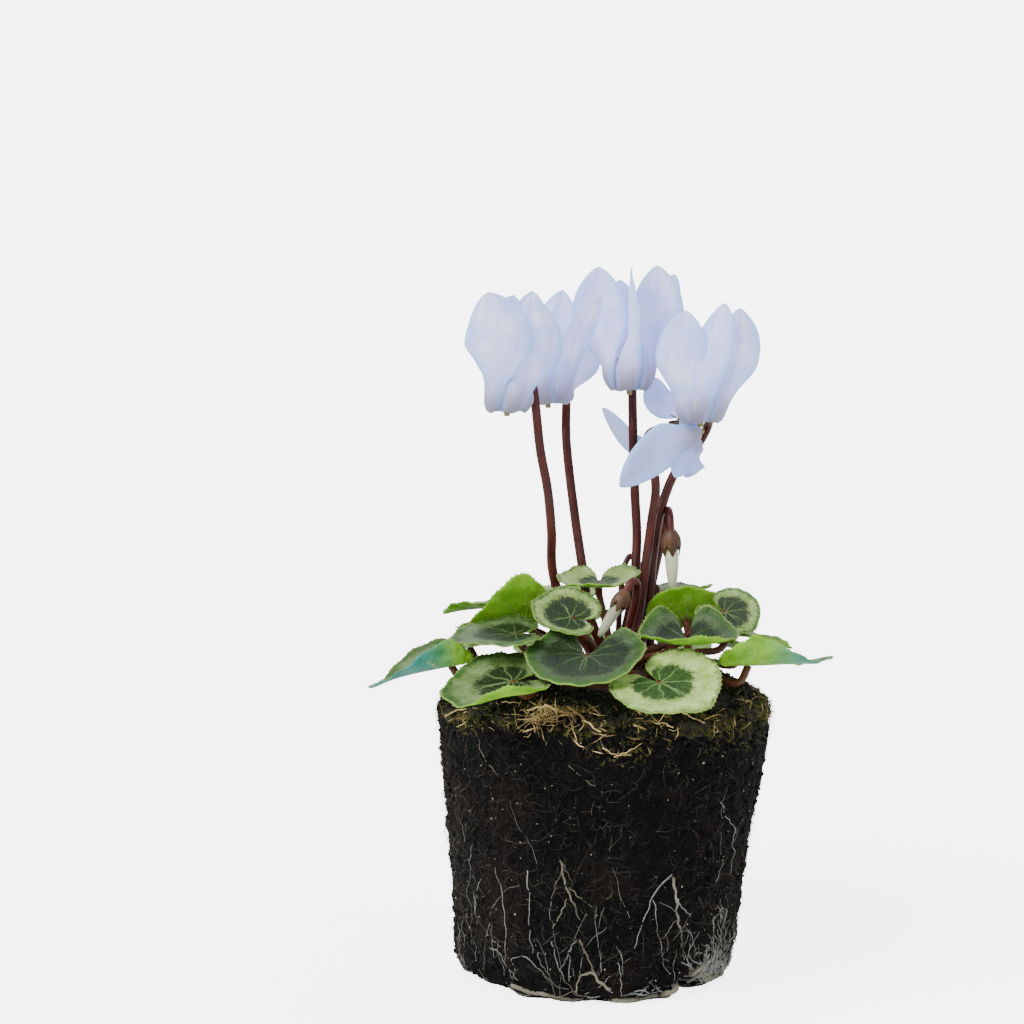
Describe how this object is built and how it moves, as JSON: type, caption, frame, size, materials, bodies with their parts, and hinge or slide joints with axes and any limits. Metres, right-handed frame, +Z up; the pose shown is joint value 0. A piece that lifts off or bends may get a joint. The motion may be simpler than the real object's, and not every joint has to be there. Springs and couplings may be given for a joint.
{
  "type": "cyclamen plant with bare root ball",
  "caption": "Small cyclamen out of its pot: a bare root ball under heart-shaped leaves, with nodding white blooms and buds on slender stems.",
  "frame": {"origin": "middle of the root ball's flat base", "axes": "+Z up through the root ball, +Y away from the viewer"},
  "size_m": [0.1367, 0.1338, 0.2134],
  "materials": {
    "peat": "matt fibrous peat",
    "moss": "matt moss and straw",
    "root": "matt pale roots",
    "tuber": "matt brown skin",
    "leaf": "satin green with a silver-green zone and pale veins",
    "stem": "satin red-brown",
    "petal": "satin white",
    "style": "matt yellow-green",
    "bud": "satin cream"
  },
  "bodies": {
    "root": {"root_ball": "peat", "moss_mat": "moss", "root_net": "root", "tuber": "tuber", "leaf_front": "leaf", "leaf_front_right": "leaf", "leaf_mid_right": "leaf", "leaf_young": "leaf", "leaf_left_mid": "leaf", "leaf_left_up": "leaf", "leaf_far_left": "leaf", "leaf_front_left": "leaf", "leaf_right": "leaf", "leaf_small_right": "leaf", "leaf_right_up": "leaf", "leaf_saddle": "leaf", "leaf_back_left": "leaf", "leaf_back_left_low": "leaf", "leaf_back_high_left": "leaf", "leaf_back_mid": "leaf", "leaf_back_low": "leaf", "leaf_back_right_low": "leaf", "leaf_back_right": "leaf", "leaf_right_mid": "leaf", "leaf_right_low": "leaf", "leaf_back_high_right": "leaf", "bloom_a_petals": "petal", "bloom_a_stem": "stem", "bloom_a_style": "style", "bloom_b_petals": "petal", "bloom_b_stem": "stem", "bloom_b_style": "style", "bloom_c_petals": "petal", "bloom_c_stem": "stem", "bloom_c_style": "style", "bloom_d_petals": "petal", "bloom_d_stem": "stem", "bloom_d_style": "style", "bloom_e_petals": "petal", "bloom_e_stem": "stem", "bloom_e_style": "style", "bud_front_stem": "stem", "bud_front_petals": "bud", "bud_white_stem": "stem", "bud_white_petals": "bud", "bud_small_stem": "stem", "bud_small_petals": "bud"}
  },
  "joints": []
}
